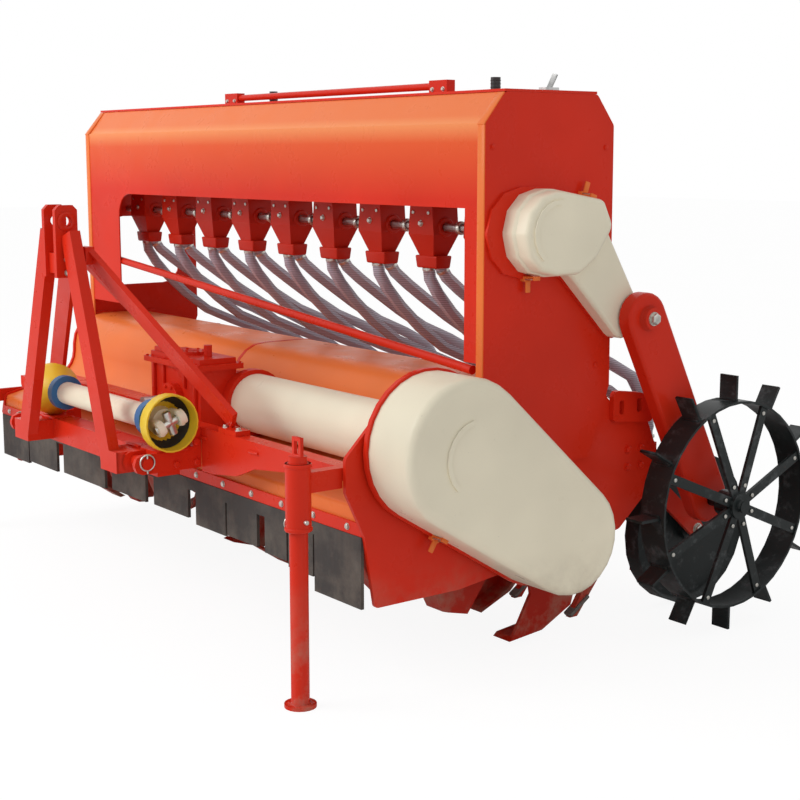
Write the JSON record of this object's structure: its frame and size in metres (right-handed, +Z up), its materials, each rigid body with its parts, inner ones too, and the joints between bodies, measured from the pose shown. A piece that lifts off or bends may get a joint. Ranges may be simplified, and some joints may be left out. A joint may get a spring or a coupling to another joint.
{
  "type": "rotary tiller seed drill",
  "caption": "Tractor mounted rotary tiller with a seed hopper, feed cups, hoses and openers, driven from a lugged ground wheel.",
  "frame": {"origin": "centre of the overall box at ground level", "axes": "+X to the side with the gear cover and ground wheel, +Y to the rear, away from the tractor, +Z up"},
  "size_m": [2.201, 1.5628, 1.3466],
  "materials": {
    "red_paint": "gloss enamel",
    "orange_paint": "gloss enamel",
    "cream_paint": "gloss enamel",
    "black_rubber": "matt",
    "wheel_iron": "satin",
    "hose": "ribbed clear",
    "guard_yellow": "moulded",
    "guard_blue": "moulded",
    "steel": "turned",
    "knob_black": "satin"
  },
  "bodies": {
    "frame": {"arm_guide": "red_paint", "collar_left": "guard_blue", "collar_right": "guard_blue", "stay_middle": "red_paint", "cardan_tube": "cream_paint", "drive_tube": "cream_paint", "feed_cups": "red_paint", "feed_drive_cover": "cream_paint", "feed_drive_pan": "red_paint", "flap_curtain": "black_rubber", "flap_strip": "red_paint", "front_rail": "red_paint", "gear_case": "red_paint", "gear_cover": "cream_paint", "gearbox": "red_paint", "guard_left": "guard_yellow", "guard_right": "guard_yellow", "headstock": "red_paint", "hood": "orange_paint", "hopper_front": "red_paint", "hopper_side_left": "red_paint", "hopper_side_right": "red_paint", "hopper_tank": "red_paint", "left_beam": "red_paint", "opener_bar": "red_paint", "rotor_side_left": "red_paint", "rotor_side_right": "red_paint", "seed_hose_1": "hose", "seed_hose_2": "hose", "seed_hose_3": "hose", "seed_hose_4": "hose", "seed_hose_5": "hose", "seed_hose_6": "hose", "seed_hose_7": "hose", "seed_hose_8": "hose", "seed_hose_9": "hose", "stand_sleeve_left": "red_paint", "stand_sleeve_right": "red_paint", "stay_left": "red_paint", "stay_right": "red_paint", "window_bar": "red_paint"},
    "lid": {"lid": "red_paint", "lid_rail": "red_paint", "lid_knob_left": "knob_black", "lid_knob_right": "knob_black", "lid_lever": "steel"},
    "feed_shaft": {"feed_shaft": "steel"},
    "input_shaft": {"input_shaft": "steel"},
    "rotor": {"rotor": "red_paint"},
    "wheel_arm": {"wheel_arm": "red_paint"},
    "ground_wheel": {"ground_wheel": "wheel_iron"},
    "depth_wheel_left": {"depth_wheel_left": "wheel_iron"},
    "depth_wheel_right": {"depth_wheel_right": "wheel_iron"},
    "stand_left": {"stand_left": "red_paint"},
    "stand_right": {"stand_right": "red_paint"}
  },
  "joints": [
    {"name": "lid_hinge", "type": "hinge", "parent": "frame", "child": "lid", "pos_m": [-0.1005, 0.13357, 1.306], "axis": [-1, 0, 0], "range_deg": [0, 100]},
    {"name": "rotor_turn", "type": "hinge", "parent": "frame", "child": "rotor", "pos_m": [-0.1005, -0.05143, 0.305], "axis": [1, 0, 0], "continuous": true},
    {"name": "input_turn", "type": "hinge", "parent": "frame", "child": "input_shaft", "pos_m": [0.0295, -0.60143, 0.537], "axis": [0, 1, 0], "continuous": true},
    {"name": "wheel_arm_swing", "type": "hinge", "parent": "frame", "child": "wheel_arm", "pos_m": [0.9555, 0.22357, 0.785], "axis": [1, 0, 0], "range_deg": [-4, 20]},
    {"name": "wheel_turn", "type": "hinge", "parent": "wheel_arm", "child": "ground_wheel", "pos_m": [0.9995, 0.46343, 0.318], "axis": [1, 0, 0], "continuous": true},
    {"name": "feed_shaft_turn", "type": "hinge", "parent": "frame", "child": "feed_shaft", "pos_m": [-0.1005, -0.05943, 0.99], "axis": [1, 0, 0], "continuous": true},
    {"name": "depth_wheel_left_turn", "type": "hinge", "parent": "frame", "child": "depth_wheel_left", "pos_m": [-1.0205, 0.56357, 0.2], "axis": [1, 0, 0], "continuous": true},
    {"name": "depth_wheel_right_turn", "type": "hinge", "parent": "frame", "child": "depth_wheel_right", "pos_m": [0.8195, 0.56357, 0.2], "axis": [1, 0, 0], "continuous": true},
    {"name": "stand_left_slide", "type": "slide", "parent": "frame", "child": "stand_left", "axis": [0, 0, 1], "range_m": [0, 0.22]},
    {"name": "stand_right_slide", "type": "slide", "parent": "frame", "child": "stand_right", "axis": [0, 0, 1], "range_m": [0, 0.22]}
  ],
  "couplings": [
    {"joint": "input_turn", "follows": "rotor_turn", "ratio": 2.4},
    {"joint": "feed_shaft_turn", "follows": "wheel_turn", "ratio": 1}
  ]
}
